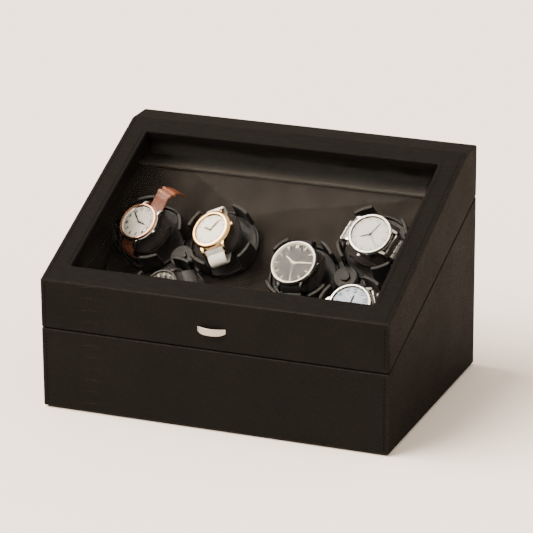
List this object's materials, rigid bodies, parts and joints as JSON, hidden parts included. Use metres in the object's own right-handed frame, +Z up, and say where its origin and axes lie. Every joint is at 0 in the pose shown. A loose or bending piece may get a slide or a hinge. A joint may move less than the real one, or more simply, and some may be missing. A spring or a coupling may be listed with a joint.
{
  "type": "watch winder box",
  "caption": "Sloped leather-covered display box with a hinged window lid over motor-driven cup turntables that hold watches on cushions.",
  "frame": {"origin": "middle of the box's footprint, on the underside of the felt base", "axes": "+X to the right of a person facing the pull, +Y to the back where the hinges are, +Z up"},
  "size_m": [0.34, 0.2554, 0.2205],
  "materials": {
    "leather_panel": "fine pebbled black-brown leather over board",
    "floor_board": "black fibreboard",
    "felt": "black felt",
    "suede": "dark brown-grey suede cloth",
    "glass": "clear polished",
    "rubber": "matt black",
    "steel": "satin",
    "gloss_black": "gloss black moulding",
    "black_plastic": "fine satin texture",
    "nylon": "natural nylon",
    "brass": "turned",
    "circuit_board": "green board",
    "cushion_cloth": "black velvet-like cloth",
    "watch_steel": "polished and brushed",
    "watch_gold": "polished pale gold",
    "strap_tan": "embossed tan leather",
    "strap_white": "smooth white leather",
    "strap_black": "smooth black leather"
  },
  "bodies": {
    "case": {"base_front_panel": "leather_panel", "base_back_panel": "leather_panel", "base_left_panel": "leather_panel", "base_right_panel": "leather_panel", "base_floor_panel": "floor_board", "base_felt": "felt", "deck_panel": "suede", "deck_front_shelf": "suede", "deck_ledge": "suede", "motor_left": "steel", "motor_right": "steel", "hinge_left_base_leaf": "steel", "hinge_left_pin": "steel", "hinge_right_base_leaf": "steel", "hinge_right_pin": "steel", "control_plate": "black_plastic", "dc_jack": "black_plastic", "gearbox_housing_left": "black_plastic", "gearbox_housing_right": "black_plastic", "control_board": "circuit_board"},
    "lid": {"lid_front_panel": "leather_panel", "lid_top_panel": "leather_panel", "lid_back_panel": "leather_panel", "lid_left_panel": "leather_panel", "lid_right_panel": "leather_panel", "window_frame": "leather_panel", "glass_pane": "glass", "glazing_seal": "rubber", "pull_tab": "steel", "hinge_left_lid_leaf": "steel", "hinge_right_lid_leaf": "steel"},
    "rotor_left": {"turntable_left": "gloss_black", "spindle_left": "steel", "drive_gear_left": "nylon", "cushion_1": "cushion_cloth", "cushion_2": "cushion_cloth", "cushion_6": "cushion_cloth", "watch_1_case": "watch_steel", "watch_1_strap": "strap_tan", "watch_2_case": "watch_gold", "watch_2_strap": "strap_white", "watch_6_case": "watch_steel", "watch_6_strap": "strap_black"},
    "rotor_right": {"turntable_right": "gloss_black", "spindle_right": "steel", "drive_gear_right": "nylon", "cushion_3": "cushion_cloth", "cushion_4": "cushion_cloth", "cushion_5": "cushion_cloth", "watch_3_case": "watch_steel", "watch_3_strap": "strap_black", "watch_4_case": "watch_steel", "watch_4_strap": "watch_steel", "watch_5_case": "watch_steel", "watch_5_strap": "watch_steel"},
    "pinion_left": {"motor_pinion_left": "brass"},
    "pinion_right": {"motor_pinion_right": "brass"},
    "rocker": {"switch_rocker": "black_plastic"},
    "knob_left": {"mode_knob_left": "black_plastic"},
    "knob_right": {"mode_knob_right": "black_plastic"}
  },
  "joints": [
    {"name": "lid_hinge", "type": "hinge", "parent": "case", "child": "lid", "pos_m": [0, 0.1252, 0.1705], "axis": [-1, 0, 0], "range_deg": [0, 100]},
    {"name": "rotor_left_spin", "type": "hinge", "parent": "case", "child": "rotor_left", "pos_m": [-0.082, 0.01284, 0.10842], "axis": [0, -0.6947, 0.7193], "continuous": true},
    {"name": "rotor_right_spin", "type": "hinge", "parent": "case", "child": "rotor_right", "pos_m": [0.082, 0.01284, 0.10842], "axis": [0, -0.6947, 0.7193], "continuous": true},
    {"name": "pinion_left_spin", "type": "hinge", "parent": "case", "child": "pinion_left", "pos_m": [-0.0519, 0.01284, 0.10842], "axis": [0, -0.6947, 0.7193], "continuous": true},
    {"name": "pinion_right_spin", "type": "hinge", "parent": "case", "child": "pinion_right", "pos_m": [0.0519, 0.01284, 0.10842], "axis": [0, -0.6947, 0.7193], "continuous": true},
    {"name": "switch_rock", "type": "hinge", "parent": "case", "child": "rocker", "pos_m": [0.016, 0.1195, 0.048], "axis": [-1, 0, 0], "range_deg": [0, 16]},
    {"name": "mode_knob_left_turn", "type": "hinge", "parent": "case", "child": "knob_left", "pos_m": [-0.042, 0.1225, 0.048], "axis": [0, 1, 0], "range_deg": [0, 270]},
    {"name": "mode_knob_right_turn", "type": "hinge", "parent": "case", "child": "knob_right", "pos_m": [-0.014, 0.1225, 0.048], "axis": [0, 1, 0], "range_deg": [0, 270]}
  ],
  "couplings": [
    {"joint": "pinion_left_spin", "follows": "rotor_left_spin", "ratio": -3},
    {"joint": "pinion_right_spin", "follows": "rotor_right_spin", "ratio": -3}
  ]
}
